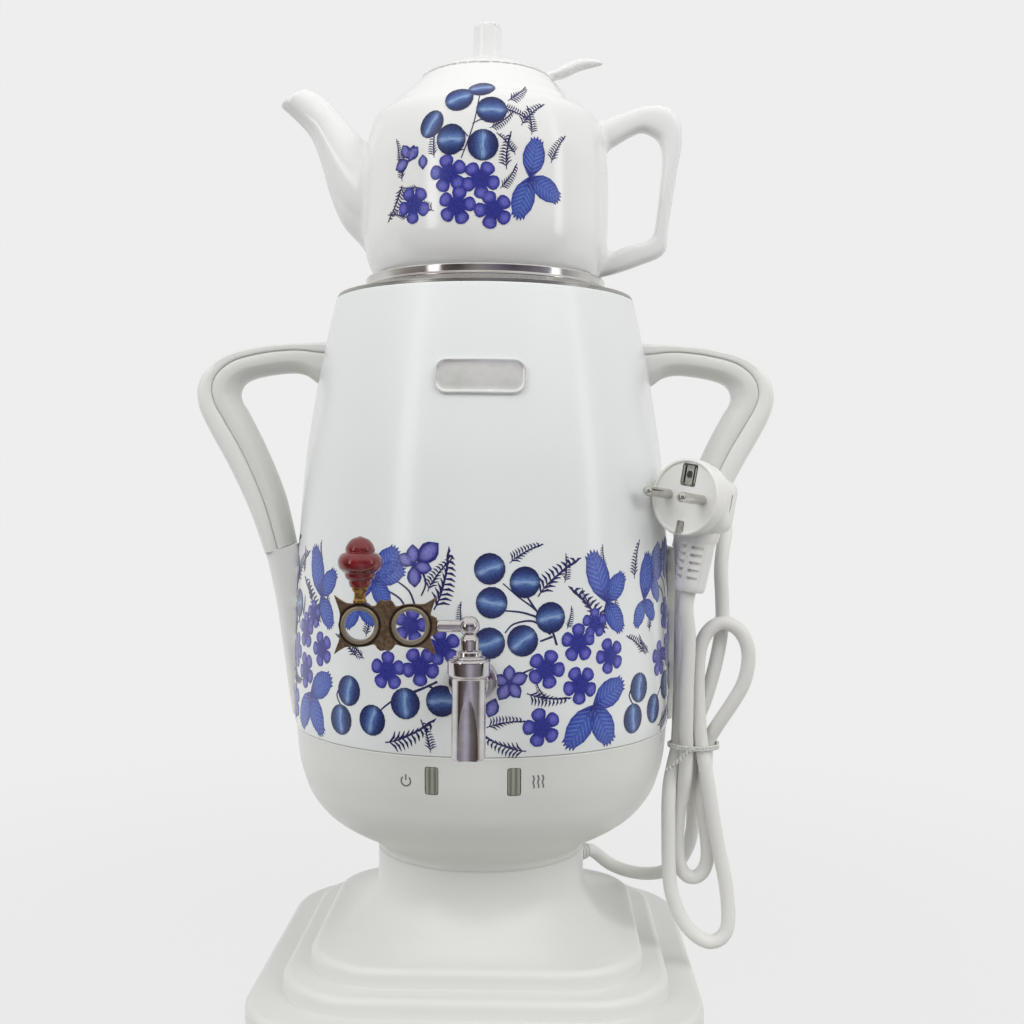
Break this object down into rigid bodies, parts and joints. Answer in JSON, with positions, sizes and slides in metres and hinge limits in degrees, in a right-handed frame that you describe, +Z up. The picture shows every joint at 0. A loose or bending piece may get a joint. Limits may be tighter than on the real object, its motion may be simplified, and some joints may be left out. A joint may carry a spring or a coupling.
{
  "type": "electric samovar",
  "caption": "Electric samovar with a stepped square base, painted round body, side handles, lever tap, and a teapot resting on its lid",
  "frame": {"origin": "on the body's vertical axis at the table plane, under the rubber feet", "axes": "+Z up, -Y towards the tap at the front, +X towards the right-hand side handle and the plug"},
  "size_m": [0.2958, 0.2473, 0.489],
  "materials": {
    "white_plastic": "satin warm white moulding",
    "grey_plastic": "satin light grey moulding",
    "white_paint": "glossy white enamel with blue floral print",
    "porcelain": null,
    "steel": "stainless sheet",
    "chrome": "polished chrome plate",
    "antique_brass": "darkened cast brass",
    "brass": "plain brass",
    "red_gloss": "glossy red",
    "smoked_window": "greyish translucent window",
    "lamp_glass": "clear glass lamp",
    "rubber": "black rubber",
    "white_rubber": "white flexible sheath",
    "red_rubber": "silicone rubber",
    "ivory_plastic": "heat-proof moulding",
    "zinc_steel": "zinc plated steel",
    "element_steel": "heat darkened tube",
    "white_gloss": "glossy white moulding"
  },
  "bodies": {
    "boiler": {"base_pedestal": "white_plastic", "base_plate": "white_plastic", "base_screws": "zinc_steel", "rubber_feet": "rubber", "cord_gland": "white_rubber", "inner_lead": "white_rubber", "pedestal_screws": "zinc_steel", "lower_housing": "white_plastic", "tank_studs": "zinc_steel", "tank_nuts": "zinc_steel", "terminal_block": "ivory_plastic", "boil_element": "element_steel", "warm_element": "element_steel", "thermostat": "ivory_plastic", "thermal_cutout": "ivory_plastic", "power_lens": "smoked_window", "heat_lens": "smoked_window", "pilot_lamps": "lamp_glass", "outer_shell": "white_paint", "water_tank": "steel", "left_handle_cover": "white_plastic", "left_handle_grip": "grey_plastic", "right_handle_cover": "white_plastic", "right_handle_grip": "grey_plastic", "handle_screws": "zinc_steel", "badge_plate": "chrome", "tap_body": "chrome", "tap_bonnet": "chrome", "tap_washer": "rubber", "tap_seal": "red_rubber", "tap_nut": "brass", "power_cord": "white_rubber", "cord_tie": "white_plastic", "plug_body": "white_gloss", "plug_pins": "chrome", "earth_clips": "brass"},
    "lever": {"tap_spindle": "chrome", "lever_rod": "chrome", "lever_plate": "antique_brass", "knob_stem": "brass", "red_knob": "red_gloss"},
    "lid": {"boiler_lid": "steel", "teapot_collar": "chrome"},
    "teapot": {"teapot_body": "porcelain"},
    "teapot_cover": {"teapot_lid": "porcelain"}
  },
  "joints": [
    {"name": "tap_turn", "type": "hinge", "parent": "boiler", "child": "lever", "pos_m": [0, -0.13, 0.17], "axis": [0, 0, 1], "range_deg": [0, 90]},
    {"name": "lid_lift", "type": "slide", "parent": "boiler", "child": "lid", "axis": [0, 0, 1], "range_m": [0, 0.12]},
    {"name": "teapot_lift", "type": "slide", "parent": "lid", "child": "teapot", "axis": [0, 0, 1], "range_m": [0, 0.15]},
    {"name": "teapot_cover_lift", "type": "slide", "parent": "teapot", "child": "teapot_cover", "axis": [0, 0, 1], "range_m": [0, 0.08]}
  ]
}
